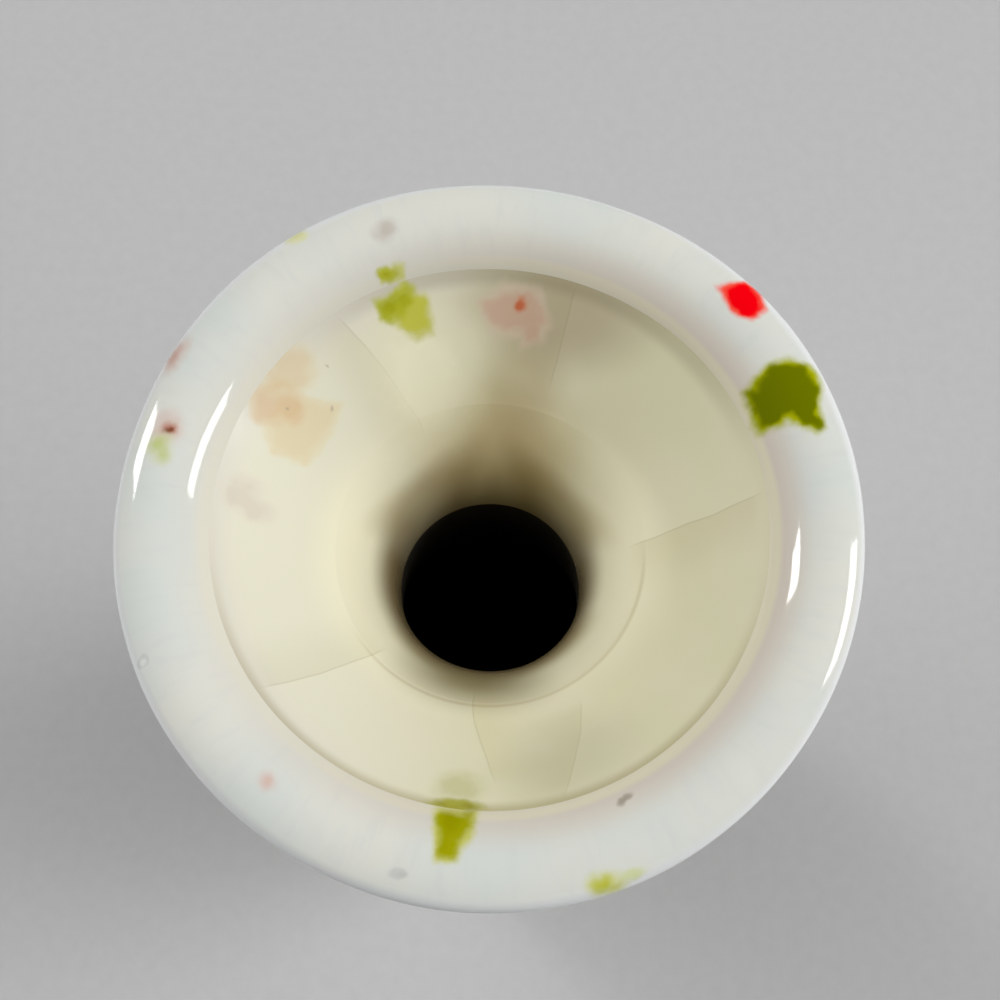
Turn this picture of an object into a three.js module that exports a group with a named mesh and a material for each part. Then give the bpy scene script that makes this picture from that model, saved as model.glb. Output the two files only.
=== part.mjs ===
// A bud vase: a footed ovoid body, a narrow neck and a trumpet mouth with a rolled lip.
// Sizes are in millimetres, +Z is up, and the origin is the centre of the resting face.
// The vase is six turned sections, each luted to the next on a flat ring with a tongue.

import * as THREE from "three";

// Overall sizes
const vaseHeight = 125;
const wall = 3.8;

// Foot ring
const footRadius = 14.5;
const footWidth = 4;
const footHeight = 4.5;
const footTaper = 1.3;
const footEdge = 0.6;

// Body: a belly that fills out from the foot and draws in to the neck
const bellyRadius = 21.5;
const bellyHeight = 50;
const bellyFullness = 0.8;
const shoulderFullness = 0.8;
const floorThickness = 4.5;
const floorFillet = 6;

// Neck, measured down from the throat
const neckLength = 16.5;

// Mouth: radii from the axis, depths down from the top of the lip
const mouthRadius = 25;
const creaseDepth = 1.85;
const breakRadius = 11.1;
const breakDepth = 8.4;
const throatRadius = 7.2;
const throatDepth = 21.5;

// Lip: a broad crown with its top in from the rim, a tight edge outside it and a fuller curve beneath
const crownRadius = 5;
const crownInset = 2.3;
const lipEdgeRadius = 1.1;
const lipUnderRadius = 3;

// Slopes of the funnel, in degrees from level, from the lip inwards
const creaseSlope = 36;
const upperBreakSlope = 47;
const lowerBreakSlope = 57;
const undersideSlope = 37;
const lipTuckAngle = -100;

// Reach of the curves' handles along those slopes
const funnelReach = 3.2;
const throatReach = 5;
const breakReach = 6;
const neckReach = 7;
const undersideReach = 6;

// Luted joints
const fitClearance = 0.3;
const tongueHeight = 1.2;
const tongueWidth = 1.2;
const lipTongueHeight = 0.6;
const lipTongueWidth = 2;

// Fineness of the surfaces, with the lip's largest step in degrees
const turnSteps = 48;
const lowerBodySteps = 9;
const shoulderSteps = 9;
const neckSteps = 3;
const filletSteps = 3;
const flareSteps = 6;
const funnelSteps = 4;
const throatSteps = 6;
const lipStep = 15;

// Heights and radii that follow from the driving sizes
const floorHeight = footHeight + floorThickness;
const throatHeight = vaseHeight - throatDepth;
const neckBaseHeight = throatHeight - neckLength;
const seatHeight = vaseHeight - creaseDepth;
const breakHeight = vaseHeight - breakDepth;
const footInnerRadius = footRadius - footWidth;
const bodyBaseRadius = footRadius - footTaper;
const neckRadius = throatRadius + wall;
const crownTopRadius = mouthRadius - crownInset;

// Profile points are (distance from the axis, height)
const at = (radius, height) => new THREE.Vector2(radius, height);

// The point a given distance from another, at an angle in degrees above level
function along(start, degrees, distance) {
  const angle = THREE.MathUtils.degToRad(degrees);
  return at(start.x + distance * Math.cos(angle), start.y + distance * Math.sin(angle));
}

// Outside of the body and neck at a height between the foot and the throat
function outerRadius(height) {
  if (height < bellyHeight) {
    const rise = (height - footHeight) / (bellyHeight - footHeight);
    const swell = Math.sin((Math.PI / 2) * rise ** bellyFullness);
    return bodyBaseRadius + (bellyRadius - bodyBaseRadius) * swell;
  }
  const rise = (height - bellyHeight) / (throatHeight - bellyHeight);
  const swell = (1 + Math.cos(Math.PI * rise ** shoulderFullness)) / 2;
  return neckRadius + (bellyRadius - neckRadius) * swell;
}

const innerRadius = (height) => outerRadius(height) - wall;
const middleRadius = (height) => outerRadius(height) - wall / 2;

// Points up a wall, evenly spaced in height and including both ends
function rising(radiusAt, bottom, top, steps) {
  const points = [];
  for (let step = 0; step <= steps; step++) {
    const height = THREE.MathUtils.lerp(bottom, top, step / steps);
    points.push(at(radiusAt(height), height));
  }
  return points;
}

// Points round an arc between two angles in degrees, evenly spaced and including both ends
function arcPoints(centre, radius, start, end) {
  const steps = Math.ceil((end - start) / lipStep);
  const points = [];
  for (let step = 0; step <= steps; step++) {
    const angle = THREE.MathUtils.lerp(start, end, step / steps);
    points.push(along(centre, angle, radius));
  }
  return points;
}

// Raised ring on top of a section, traced inwards
function tongue(centre, height, width = tongueWidth, rise = tongueHeight) {
  const outer = centre + width / 2;
  const inner = centre - width / 2;
  const top = height + rise;
  return [at(outer, height), at(outer, top), at(inner, top), at(inner, height)];
}

// Matching channel under the next section, traced outwards
function groove(centre, height, width = tongueWidth, rise = tongueHeight) {
  const outer = centre + width / 2 + fitClearance;
  const inner = centre - width / 2 - fitClearance;
  const top = height + rise + fitClearance;
  return [at(inner, height), at(inner, top), at(outer, top), at(outer, height)];
}

// The lip's arcs: the edge meets the crown smoothly, and the seat cuts the crown and the underside
const crownCentre = at(crownTopRadius, vaseHeight - crownRadius);
const edgeReach = mouthRadius - lipEdgeRadius - crownTopRadius;
const edgeAngle = THREE.MathUtils.radToDeg(Math.acos(edgeReach / (crownRadius - lipEdgeRadius)));
const edgeCentre = along(crownCentre, edgeAngle, crownRadius - lipEdgeRadius);
const underCentre = at(mouthRadius - lipUnderRadius, edgeCentre.y);
const creaseRise = Math.asin((seatHeight - crownCentre.y) / crownRadius);
const creaseAngle = 180 - THREE.MathUtils.radToDeg(creaseRise);
const creaseRadius = crownCentre.x - crownRadius * Math.cos(creaseRise);
const seatDrop = Math.asin((seatHeight - underCentre.y) / lipUnderRadius);
const seatAngle = THREE.MathUtils.radToDeg(seatDrop);

// Foot ring, bare on its resting face and softened at its edges
const footTongueCentre = (footInnerRadius + bodyBaseRadius) / 2;

function footRingProfile() {
  return [
    at(footInnerRadius + footEdge, 0),
    at(footRadius - footEdge, 0),
    at(footRadius, footEdge),
    at(bodyBaseRadius, footHeight),
    ...tongue(footTongueCentre, footHeight),
    at(footInnerRadius, footHeight),
    at(footInnerRadius, footEdge),
    at(footInnerRadius + footEdge, 0),
  ];
}

// Lower body: the base, the floor and the wall up to the belly
function lowerBodyProfile() {
  const filletTop = floorHeight + floorFillet;
  const filletCentre = at(innerRadius(filletTop) - floorFillet, filletTop);
  const fillet = [];
  for (let step = 1; step <= filletSteps; step++) {
    const degrees = (-90 * step) / filletSteps;
    fillet.push(along(filletCentre, degrees, floorFillet));
  }
  return [
    at(0, footHeight),
    ...groove(footTongueCentre, footHeight),
    ...rising(outerRadius, footHeight, bellyHeight, lowerBodySteps),
    ...tongue(middleRadius(bellyHeight), bellyHeight),
    ...rising(innerRadius, filletTop, bellyHeight, lowerBodySteps).reverse(),
    ...fillet,
    at(0, floorHeight),
  ];
}

// A wall section between two joints, used for the shoulder and the neck
function wallProfile(bottom, top, steps) {
  const underside = groove(middleRadius(bottom), bottom);
  return [
    ...underside,
    ...rising(outerRadius, bottom, top, steps),
    ...tongue(middleRadius(top), top),
    ...rising(innerRadius, bottom, top, steps).reverse(),
    underside[0],
  ];
}

// Mouth funnel: the trumpet from the throat to the flat seat of the lip
function mouthFunnelProfile() {
  const throat = at(throatRadius, throatHeight);
  const ring = at(breakRadius, breakHeight);
  const crease = at(creaseRadius, seatHeight);
  const bead = arcPoints(underCentre, lipUnderRadius, lipTuckAngle, seatAngle);
  const neckTop = at(neckRadius, throatHeight);
  const underside = new THREE.CubicBezierCurve(
    neckTop,
    along(neckTop, 90, neckReach),
    along(bead[0], undersideSlope, -undersideReach),
    bead[0],
  );
  const upperFunnel = new THREE.CubicBezierCurve(
    crease,
    along(crease, creaseSlope, -funnelReach),
    along(ring, upperBreakSlope, funnelReach),
    ring,
  );
  const lowerFunnel = new THREE.CubicBezierCurve(
    ring,
    along(ring, lowerBreakSlope, -breakReach),
    along(throat, 90, throatReach),
    throat,
  );
  return [
    throat,
    ...groove(middleRadius(throatHeight), throatHeight),
    ...underside.getPoints(flareSteps).slice(0, -1),
    ...bead,
    ...tongue(crownTopRadius, seatHeight, lipTongueWidth, lipTongueHeight),
    ...upperFunnel.getPoints(funnelSteps),
    ...lowerFunnel.getPoints(throatSteps).slice(1),
  ];
}

// Rolled lip: a coil pressed down on the seat, whose inner edge is the crease in the mouth
function rolledLipProfile() {
  return [
    at(creaseRadius, seatHeight),
    ...groove(crownTopRadius, seatHeight, lipTongueWidth, lipTongueHeight),
    ...arcPoints(underCentre, lipUnderRadius, seatAngle, 0),
    ...arcPoints(edgeCentre, lipEdgeRadius, 0, edgeAngle).slice(1),
    ...arcPoints(crownCentre, crownRadius, edgeAngle, 90).slice(1),
    ...arcPoints(crownCentre, crownRadius, 90, creaseAngle).slice(1),
  ];
}

// Glazes and bare clay
const outerGlaze = { color: 0xd6dad3, roughness: 0.16 };
const innerGlaze = { color: 0xd8d2b4, roughness: 0.2 };
const bareClay = { color: 0xc9bd9f, roughness: 0.85 };

// Turns a profile about the upright axis into a named solid
function turned(name, profile, finish) {
  const geometry = new THREE.LatheGeometry(profile, turnSteps);
  geometry.rotateX(Math.PI / 2);
  const material = new THREE.MeshStandardMaterial({ ...finish, metalness: 0 });
  const mesh = new THREE.Mesh(geometry, material);
  mesh.name = name;
  return mesh;
}

const vase = new THREE.Group();
vase.add(
  turned("foot_ring", footRingProfile(), bareClay),
  turned("lower_body", lowerBodyProfile(), outerGlaze),
  turned("shoulder", wallProfile(bellyHeight, neckBaseHeight, shoulderSteps), outerGlaze),
  turned("neck", wallProfile(neckBaseHeight, throatHeight, neckSteps), outerGlaze),
  turned("mouth_funnel", mouthFunnelProfile(), innerGlaze),
  turned("rolled_lip", rolledLipProfile(), outerGlaze),
);

export default vase;
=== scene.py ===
# A bud vase with a trumpet mouth and a rolled lip, seen almost straight down into the mouth.
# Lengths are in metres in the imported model's frame: +Z up, -Y towards the photograph's viewer.
# Six luted sections stand for the model's six, under one glossy glaze with painted dabs.

import math
from dataclasses import dataclass

import bmesh
import bpy
from mathutils import Matrix, Vector, noise


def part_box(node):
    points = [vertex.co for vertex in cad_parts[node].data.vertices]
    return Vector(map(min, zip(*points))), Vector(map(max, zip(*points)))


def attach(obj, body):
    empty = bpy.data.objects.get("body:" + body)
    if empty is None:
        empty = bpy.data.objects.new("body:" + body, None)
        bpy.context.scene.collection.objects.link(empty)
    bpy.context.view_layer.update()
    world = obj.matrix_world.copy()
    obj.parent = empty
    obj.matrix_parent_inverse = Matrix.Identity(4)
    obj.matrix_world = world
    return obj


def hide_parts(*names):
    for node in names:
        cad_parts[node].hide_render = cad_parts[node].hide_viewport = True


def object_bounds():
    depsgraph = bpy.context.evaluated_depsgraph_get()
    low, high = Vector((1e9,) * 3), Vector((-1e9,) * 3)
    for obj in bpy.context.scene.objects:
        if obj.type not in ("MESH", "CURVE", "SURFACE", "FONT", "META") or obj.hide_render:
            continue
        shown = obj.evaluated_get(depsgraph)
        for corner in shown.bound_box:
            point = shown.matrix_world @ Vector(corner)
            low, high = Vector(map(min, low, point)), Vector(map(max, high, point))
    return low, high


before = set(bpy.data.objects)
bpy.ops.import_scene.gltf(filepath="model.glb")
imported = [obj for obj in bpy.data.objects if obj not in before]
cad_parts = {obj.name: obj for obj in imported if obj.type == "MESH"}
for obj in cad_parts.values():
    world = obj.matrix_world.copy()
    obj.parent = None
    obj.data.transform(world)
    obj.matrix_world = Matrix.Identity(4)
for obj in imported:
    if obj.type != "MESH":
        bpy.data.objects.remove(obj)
cad_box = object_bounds()

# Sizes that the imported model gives
MOUTH_RADIUS = cad_box[1].x
HEIGHT = cad_box[1].z
FOOT_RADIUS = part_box("foot_ring")[1].x
FOOT_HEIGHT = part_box("lower_body")[0].z
BELLY_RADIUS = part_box("lower_body")[1].x
BELLY_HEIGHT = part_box("shoulder")[0].z
NECK_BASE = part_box("neck")[0].z
THROAT_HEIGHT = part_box("mouth_funnel")[0].z
SEAT_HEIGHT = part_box("rolled_lip")[0].z

# Walls, foot and floor
WALL = 0.0038
FOOT_WIDTH = 0.004
FOOT_TAPER = 0.0013
FOOT_EDGE = 0.0006
GLAZE_LINE = 0.0011
FLOOR_THICKNESS = 0.0045
FLOOR_FILLET = 0.006
BELLY_FULLNESS = 0.8
SHOULDER_FULLNESS = 0.8

# Mouth
RING_RADIUS = 0.0111
RING_HEIGHT = HEIGHT - 0.0084
THROAT_RADIUS = 0.0072
CREASE_SLOPE = 36
UPPER_RING_SLOPE = 49
LOWER_RING_SLOPE = 55
UNDERSIDE_SLOPE = 37
FUNNEL_REACH = 0.0032
THROAT_REACH = 0.005
RING_REACH = 0.006
NECK_REACH = 0.007
UNDERSIDE_REACH = 0.006

# Lip: a broad crown, a tight edge outside it and a fuller curve beneath
CROWN_RADIUS = 0.005
CROWN_TOP_RADIUS = 0.0227
LIP_EDGE_RADIUS = 0.0011
LIP_UNDER_RADIUS = 0.003
LIP_TUCK = -100

# Luted joints
CLEARANCE = 0.0003
TONGUE_HEIGHT = 0.0012
TONGUE_WIDTH = 0.0012
LIP_TONGUE_HEIGHT = 0.0006
LIP_TONGUE_WIDTH = 0.002

# Sizes that follow
FLOOR_HEIGHT = FOOT_HEIGHT + FLOOR_THICKNESS
FOOT_INNER_RADIUS = FOOT_RADIUS - FOOT_WIDTH
BASE_RADIUS = FOOT_RADIUS - FOOT_TAPER
NECK_RADIUS = THROAT_RADIUS + WALL
FOOT_TONGUE_RADIUS = (FOOT_INNER_RADIUS + BASE_RADIUS) / 2

# Fineness of the turned surfaces
SEGMENTS = 288
SHARP_ANGLE = math.radians(35)
SAME_PLACE = 1e-7
FACE_STEPS = 8
BASE_STEPS = 12
FOOT_EDGE_STEPS = 10
LOWER_BODY_STEPS = 72
INNER_BODY_STEPS = 48
FILLET_STEPS = 16
SHOULDER_STEPS = 72
NECK_STEPS = 36
FUNNEL_STEPS = 56
UNDERSIDE_STEPS = 64
BEAD_STEPS = 48
UNDER_LIP_STEPS = 8
LIP_EDGE_STEPS = 32
OUTER_CROWN_STEPS = 20
INNER_CROWN_STEPS = 48

# How far the kiln pulled the mouth out of round: waves a turn, size, and phase in degrees
PULLS = ((1, 0.00007, -90), (3, 0.00007, -65), (4, 0.00007, -103), (5, 0.00003, 118))

# How far the hand left the surface uneven, in fine waves and broad ones
HAND_WAVE = 0.00003
HAND_WAVE_LENGTH = 0.006
BODY_WAVE_LENGTH = 0.02
BODY_WAVE_SHIFT = Vector((5, 3, 1))

# Camera
CAMERA_PLACE = Vector((0, -0.02454, HEIGHT + 0.08659))
CAMERA_TILT = math.radians(16.523)
CAMERA_TURN = math.radians(-0.4184)
LENS = 49.3
SENSOR = 36
CLIP_START = 0.005
CLIP_END = 50

# Studio
FLOOR_SIZE = 8
FLOOR_DROP = 0.00002


def at(radius, height):
    """A point of an outline"""
    return Vector((radius, height))


def along(start, degrees, distance):
    """The point a distance from another, at an angle in degrees above level"""
    angle = math.radians(degrees)
    return start + Vector((math.cos(angle), math.sin(angle))) * distance


def eased(steps):
    """Shares from 0 to 1, closer together at both ends"""
    return [(1 - math.cos(math.pi * step / steps)) / 2 for step in range(steps + 1)]


def curve(a, b, c, d, steps):
    """Points of a cubic Bezier curve"""
    points = []
    for share in eased(steps):
        rest = 1 - share
        points.append(
            a * rest ** 3 + b * 3 * rest ** 2 * share + c * 3 * rest * share ** 2 + d * share ** 3
        )
    return points


def arc(centre, radius, start, end, steps):
    """Points of an arc between two angles in degrees"""
    return [along(centre, start + (end - start) * share, radius) for share in eased(steps)]


def line(start, end, steps):
    """Points of a straight line"""
    return [start.lerp(end, share) for share in eased(steps)]


def outer_radius(height):
    """Outside of the body and neck between the foot and the throat"""
    if height < BELLY_HEIGHT:
        rise = max(0, (height - FOOT_HEIGHT) / (BELLY_HEIGHT - FOOT_HEIGHT))
        swell = math.sin(math.pi / 2 * rise ** BELLY_FULLNESS)
        return BASE_RADIUS + (BELLY_RADIUS - BASE_RADIUS) * swell
    rise = min(1, (height - BELLY_HEIGHT) / (THROAT_HEIGHT - BELLY_HEIGHT))
    swell = (1 + math.cos(math.pi * rise ** SHOULDER_FULLNESS)) / 2
    return NECK_RADIUS + (BELLY_RADIUS - NECK_RADIUS) * swell


def inner_radius(height):
    return outer_radius(height) - WALL


def middle_radius(height):
    return outer_radius(height) - WALL / 2


def wall(radius_at, start, end, steps):
    """Points up or down a wall between two heights"""
    heights = [start + (end - start) * share for share in eased(steps)]
    return [at(radius_at(height), height) for height in heights]


def tongue(centre, height, width=TONGUE_WIDTH, rise=TONGUE_HEIGHT):
    """Raised ring on top of a section, traced inwards"""
    outer = centre + width / 2
    inner = centre - width / 2
    top = height + rise
    return [at(outer, height), at(outer, top), at(inner, top), at(inner, height)]


def groove(centre, height, width=TONGUE_WIDTH, rise=TONGUE_HEIGHT):
    """Matching channel under the next section, traced outwards"""
    outer = centre + width / 2 + CLEARANCE
    inner = centre - width / 2 - CLEARANCE
    top = height + rise + CLEARANCE
    return [at(inner, height), at(inner, top), at(outer, top), at(outer, height)]


# The lip's arcs: the edge meets the crown smoothly, and the seat cuts the crown and the underside
CROWN_CENTRE = at(CROWN_TOP_RADIUS, HEIGHT - CROWN_RADIUS)
EDGE_REACH = MOUTH_RADIUS - LIP_EDGE_RADIUS - CROWN_TOP_RADIUS
EDGE_ANGLE = math.degrees(math.acos(EDGE_REACH / (CROWN_RADIUS - LIP_EDGE_RADIUS)))
EDGE_CENTRE = along(CROWN_CENTRE, EDGE_ANGLE, CROWN_RADIUS - LIP_EDGE_RADIUS)
UNDER_CENTRE = at(MOUTH_RADIUS - LIP_UNDER_RADIUS, EDGE_CENTRE.y)
CREASE_ANGLE = 180 - math.degrees(math.asin((SEAT_HEIGHT - CROWN_CENTRE.y) / CROWN_RADIUS))
CREASE_RADIUS = along(CROWN_CENTRE, CREASE_ANGLE, CROWN_RADIUS).x
SEAT_ANGLE = math.degrees(math.asin((SEAT_HEIGHT - UNDER_CENTRE.y) / LIP_UNDER_RADIUS))


def foot_ring_outline():
    """Ring that the vase stands on, bare where it rests"""
    edge = FOOT_EDGE
    bottom_inner = at(FOOT_INNER_RADIUS + edge, 0)
    bottom_outer = at(FOOT_RADIUS - edge, 0)
    outer_corner = arc(at(FOOT_RADIUS - edge, edge), edge, -90, 0, FOOT_EDGE_STEPS)
    inner_corner = arc(at(FOOT_INNER_RADIUS + edge, edge), edge, 180, 270, FOOT_EDGE_STEPS)
    base = at(BASE_RADIUS, FOOT_HEIGHT)
    inner_top = at(FOOT_INNER_RADIUS, FOOT_HEIGHT)
    inner_bottom = at(FOOT_INNER_RADIUS, edge * 2)
    glaze_start = at(FOOT_RADIUS, edge).lerp(base, GLAZE_LINE / FOOT_HEIGHT)
    return [
        ("clay", line(bottom_inner, bottom_outer, FACE_STEPS)),
        ("clay", outer_corner),
        ("clay", [glaze_start]),
        ("outside", line(glaze_start, base, BASE_STEPS)),
        ("clay", tongue(FOOT_TONGUE_RADIUS, FOOT_HEIGHT)),
        ("clay", [inner_top]),
        ("outside", line(inner_top, inner_bottom, FACE_STEPS)),
        ("clay", inner_corner),
    ]


def lower_body_outline():
    """Base, floor and wall up to the belly"""
    fillet_top = FLOOR_HEIGHT + FLOOR_FILLET
    fillet_centre = at(inner_radius(fillet_top) - FLOOR_FILLET, fillet_top)
    return [
        ("outside", line(at(0, FOOT_HEIGHT), at(FOOT_INNER_RADIUS, FOOT_HEIGHT), BASE_STEPS)),
        ("clay", groove(FOOT_TONGUE_RADIUS, FOOT_HEIGHT)),
        ("clay", [at(BASE_RADIUS, FOOT_HEIGHT)]),
        ("outside", wall(outer_radius, FOOT_HEIGHT, BELLY_HEIGHT, LOWER_BODY_STEPS)),
        ("clay", tongue(middle_radius(BELLY_HEIGHT), BELLY_HEIGHT)),
        ("clay", [at(inner_radius(BELLY_HEIGHT), BELLY_HEIGHT)]),
        ("inside", wall(inner_radius, BELLY_HEIGHT, fillet_top, INNER_BODY_STEPS)),
        ("inside", arc(fillet_centre, FLOOR_FILLET, 0, -90, FILLET_STEPS)),
        ("inside", line(at(fillet_centre.x, FLOOR_HEIGHT), at(0, FLOOR_HEIGHT), FACE_STEPS)),
    ]


def wall_outline(bottom, top, steps):
    """Wall between two joints, used for the shoulder and the neck"""
    return [
        ("clay", [at(inner_radius(bottom), bottom)]),
        ("clay", groove(middle_radius(bottom), bottom)),
        ("clay", [at(outer_radius(bottom), bottom)]),
        ("outside", wall(outer_radius, bottom, top, steps)),
        ("clay", tongue(middle_radius(top), top)),
        ("clay", [at(inner_radius(top), top)]),
        ("inside", wall(inner_radius, top, bottom, steps)),
    ]


def upper_funnel():
    """Funnel from the crease down to the ring"""
    crease = at(CREASE_RADIUS, SEAT_HEIGHT)
    ring = at(RING_RADIUS, RING_HEIGHT)
    crease_handle = along(crease, CREASE_SLOPE, -FUNNEL_REACH)
    ring_handle = along(ring, UPPER_RING_SLOPE, FUNNEL_REACH)
    return curve(crease, crease_handle, ring_handle, ring, FUNNEL_STEPS)


def lower_funnel():
    """Funnel from the ring down to the throat"""
    ring = at(RING_RADIUS, RING_HEIGHT)
    throat = at(THROAT_RADIUS, THROAT_HEIGHT)
    ring_handle = along(ring, LOWER_RING_SLOPE, -RING_REACH)
    throat_handle = along(throat, 90, THROAT_REACH)
    return curve(ring, ring_handle, throat_handle, throat, FUNNEL_STEPS)


def mouth_funnel_outline():
    """Trumpet from the throat to the flat seat of the lip"""
    neck_top = at(NECK_RADIUS, THROAT_HEIGHT)
    bead = arc(UNDER_CENTRE, LIP_UNDER_RADIUS, LIP_TUCK, SEAT_ANGLE, BEAD_STEPS)
    neck_handle = along(neck_top, 90, NECK_REACH)
    tuck_handle = along(bead[0], UNDERSIDE_SLOPE, -UNDERSIDE_REACH)
    underside = curve(neck_top, neck_handle, tuck_handle, bead[0], UNDERSIDE_STEPS)
    return [
        ("clay", [at(THROAT_RADIUS, THROAT_HEIGHT)]),
        ("clay", groove(middle_radius(THROAT_HEIGHT), THROAT_HEIGHT)),
        ("clay", [neck_top]),
        ("outside", underside),
        ("outside", bead),
        ("clay", tongue(CROWN_TOP_RADIUS, SEAT_HEIGHT, LIP_TONGUE_WIDTH, LIP_TONGUE_HEIGHT)),
        ("clay", [at(CREASE_RADIUS, SEAT_HEIGHT)]),
        ("funnel", upper_funnel()),
        ("funnel", lower_funnel()),
    ]


def rolled_lip_outline():
    """Coil pressed down on the seat, whose inner edge is the crease"""
    return [
        ("clay", [at(CREASE_RADIUS, SEAT_HEIGHT)]),
        ("clay", groove(CROWN_TOP_RADIUS, SEAT_HEIGHT, LIP_TONGUE_WIDTH, LIP_TONGUE_HEIGHT)),
        ("clay", [along(UNDER_CENTRE, SEAT_ANGLE, LIP_UNDER_RADIUS)]),
        ("outside", arc(UNDER_CENTRE, LIP_UNDER_RADIUS, SEAT_ANGLE, 0, UNDER_LIP_STEPS)),
        ("outside", arc(EDGE_CENTRE, LIP_EDGE_RADIUS, 0, EDGE_ANGLE, LIP_EDGE_STEPS)),
        ("outside", arc(CROWN_CENTRE, CROWN_RADIUS, EDGE_ANGLE, 90, OUTER_CROWN_STEPS)),
        ("outside", arc(CROWN_CENTRE, CROWN_RADIUS, 90, CREASE_ANGLE, INNER_CROWN_STEPS)),
    ]


def smooth_step(value, low, high):
    """A share that eases from 0 at a low value to 1 at a high one"""
    share = min(1, max(0, (value - low) / (high - low)))
    return share * share * (3 - 2 * share)


def pull(azimuth):
    """How far the mouth's edge stands out of round at an azimuth in radians"""
    return sum(size * math.cos(waves * azimuth + math.radians(phase)) for waves, size, phase in PULLS)


def fired(radius, height, azimuth):
    """Place of a turned point once hand and kiln have pulled the vase a little out of true"""
    mouth_share = smooth_step(height, NECK_BASE, HEIGHT) * (radius / MOUTH_RADIUS) ** 2
    spot = Vector((radius * math.cos(azimuth), radius * math.sin(azimuth), height))
    fine = noise.noise(spot / HAND_WAVE_LENGTH)
    broad = noise.noise(spot / BODY_WAVE_LENGTH + BODY_WAVE_SHIFT)
    hand = HAND_WAVE * (fine + broad - 1) * smooth_step(height, FOOT_EDGE, FLOOR_HEIGHT)
    radius += pull(azimuth) * mouth_share + hand * smooth_step(radius, 0, THROAT_RADIUS)
    return Vector((radius * math.cos(azimuth), radius * math.sin(azimuth), height))


def traced(outline):
    """Points of an outline without repeats, each with the finish of the face that ends at it"""
    points = []
    finishes = []
    for finish, stretch in outline:
        for point in stretch:
            if points and (point - points[-1]).length < SAME_PLACE:
                continue
            points.append(point)
            finishes.append(finish)
    if (points[0] - points[-1]).length < SAME_PLACE:
        points.pop()
        finishes[0] = finishes.pop()
    return points, finishes


def placed(name, data):
    """A new object in the scene"""
    made = bpy.data.objects.new(name, data)
    bpy.context.scene.collection.objects.link(made)
    return made


def turned(name, outline, finish_order):
    """A section turned about the upright axis"""
    points, finishes = traced(outline)
    vertices = []
    rows = []
    for point in points:
        count = 1 if point.x < SAME_PLACE else SEGMENTS
        rows.append(range(len(vertices), len(vertices) + count))
        for step in range(count):
            vertices.append(fired(point.x, point.y, 2 * math.pi * step / SEGMENTS))
    faces = []
    face_finishes = []
    for index, row in enumerate(rows):
        before = rows[index - 1]
        if len(row) == 1 and len(before) == 1:
            continue
        for step in range(SEGMENTS):
            corners = [before[step % len(before)], before[(step + 1) % SEGMENTS % len(before)]]
            corners += [row[(step + 1) % SEGMENTS % len(row)], row[step % len(row)]]
            faces.append(list(dict.fromkeys(corners)))
            face_finishes.append(finish_order.index(finishes[index]))
    mesh = bpy.data.meshes.new(name)
    mesh.from_pydata(vertices, [], faces)
    mesh.polygons.foreach_set("material_index", face_finishes)
    face_outwards(mesh)
    mesh.shade_smooth()
    mesh.set_sharp_from_angle(angle=SHARP_ANGLE)
    return placed(name, mesh)


def face_outwards(mesh):
    """Turns a closed mesh's faces outwards"""
    shell = bmesh.new()
    shell.from_mesh(mesh)
    if shell.calc_volume(signed=True) < 0:
        bmesh.ops.reverse_faces(shell, faces=shell.faces)
    shell.to_mesh(mesh)
    shell.free()


def shade(red, green, blue):
    """A colour given as it shows on a screen, from 0 to 255, as linear light"""
    def linear(value):
        share = value / 255
        if share <= 0.04045:
            return share / 12.92
        return ((share + 0.055) / 1.055) ** 2.4

    return (linear(red), linear(green), linear(blue), 1)


# How far each unit of a seed shifts the noise
SEED_SHIFT = (1, 0.7, 0.3)

# How strongly the surfaces reflect, and how rough each is
SHEEN = 0.5
OUTER_ROUGHNESS = 0.06
INNER_ROUGHNESS = 0.14
INSIDE_ROUGHNESS = 0.8
CLAY_ROUGHNESS = 0.85
FLOOR_ROUGHNESS = 0.9

# Dabs: how softly two strokes run together, how far their edges wander, how unevenly pigment lies
STROKE_BLEND = 0.0003
DAB_WANDER = 0.001
DAB_WANDER_LENGTH = 0.0016
MOTTLE = 0.0002
MOTTLE_LENGTH = 0.0014
MOTTLE_SPAN = (0.3, 0.7)

# Hairline cracks in the glaze
CRACK_WIDTH = 0.0001
CRACK_WANDER = 0.0004
CRACK_WANDER_LENGTH = 0.003
CRACK_FADE = 0.0012
CRACK_STAIN_WIDTH = 0.0045
CRACK_SHADE = shade(206, 200, 180)


class Nodes:
    """Makes a tree's nodes. A value given for an input is either a number or another node's socket.
    Sockets go by number where their names repeat."""

    def __init__(self, tree):
        self.tree = tree

    def node(self, kind, inputs=None, **settings):
        """A new node with its inputs and settings"""
        made = self.tree.nodes.new("ShaderNode" + kind)
        for key, value in settings.items():
            setattr(made, key, value)
        for key, value in (inputs or {}).items():
            if isinstance(value, bpy.types.NodeSocket):
                self.tree.links.new(value, made.inputs[key])
            else:
                made.inputs[key].default_value = value
        return made

    def math(self, operation, *values):
        """Arithmetic on numbers"""
        return self.node("Math", dict(enumerate(values)), operation=operation).outputs[0]

    def times(self, first, second):
        """Two numbers multiplied"""
        return self.math("MULTIPLY", first, second)

    def vector(self, operation, *values):
        """Arithmetic on vectors"""
        made = self.node("VectorMath", dict(enumerate(values)), operation=operation)
        return made.outputs["Value" if operation in ("LENGTH", "DOT_PRODUCT") else "Vector"]


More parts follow.
